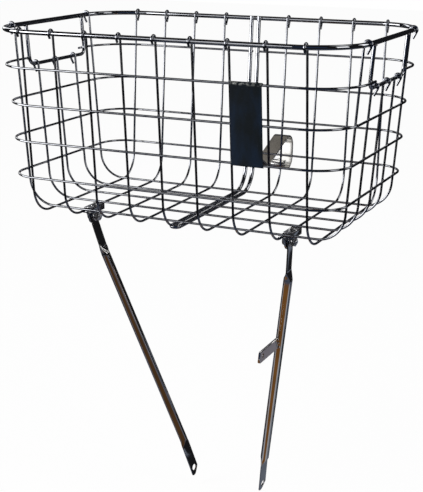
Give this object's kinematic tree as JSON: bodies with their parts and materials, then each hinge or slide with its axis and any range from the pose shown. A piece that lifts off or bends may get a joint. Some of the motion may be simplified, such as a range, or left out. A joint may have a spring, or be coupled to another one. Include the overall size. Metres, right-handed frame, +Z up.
{
  "type": "handlebar basket",
  "caption": "Open wire bicycle basket with handle loops, a curved strip hook that hangs over the handlebar and hinged support legs with eyes for the front axle.",
  "frame": {"origin": "centre of the handlebar's seat in the hook, on the basket's middle plane", "axes": "+X across the bicycle to its left as the rider sits, +Y back towards the rider, +Z up"},
  "size_m": [0.4186, 0.3635, 0.5768],
  "materials": {
    "mesh_wire": "polished",
    "heavy_wire": "polished",
    "plate": "gloss",
    "strip": "polished",
    "leg": "polished",
    "bracket": "polished",
    "fastener": "polished"
  },
  "bodies": {
    "basket": {"top_rim": "heavy_wire", "left_handle_loop": "heavy_wire", "right_handle_loop": "heavy_wire", "upper_hoop_front": "mesh_wire", "upper_hoop_rear_left": "mesh_wire", "upper_hoop_rear_right": "mesh_wire", "second_hoop": "mesh_wire", "third_hoop": "mesh_wire", "lowest_hoop": "mesh_wire", "cross_wire_1": "mesh_wire", "cross_wire_2": "mesh_wire", "cross_wire_3": "mesh_wire", "cross_wire_4": "mesh_wire", "front_centre_wire": "mesh_wire", "cross_wire_5": "mesh_wire", "cross_wire_6": "mesh_wire", "cross_wire_7": "mesh_wire", "cross_wire_8": "mesh_wire", "long_wire_1": "mesh_wire", "long_wire_2": "mesh_wire", "long_wire_3": "mesh_wire", "long_wire_4": "mesh_wire", "long_wire_5": "mesh_wire", "centre_hairpin": "heavy_wire", "front_plate": "plate", "handlebar_hook": "strip", "left_clamp_plate": "bracket", "right_clamp_plate": "bracket", "left_leg_bracket": "bracket", "right_leg_bracket": "bracket", "clamp_screws": "fastener", "clamp_nuts": "fastener", "pivot_bolts": "fastener", "pivot_washers": "fastener", "pivot_nuts": "fastener"},
    "left_leg": {"left_leg": "leg"},
    "right_leg": {"right_leg": "leg", "lamp_tab": "leg"}
  },
  "joints": [
    {"name": "left_leg_hinge", "type": "hinge", "parent": "basket", "child": "left_leg", "pos_m": [-0.1238, -0.26032, -0.0446], "axis": [1, 0, 0], "range_deg": [-30, 70]},
    {"name": "right_leg_hinge", "type": "hinge", "parent": "basket", "child": "right_leg", "pos_m": [0.1162, -0.26032, -0.0446], "axis": [1, 0, 0], "range_deg": [-30, 70]}
  ]
}
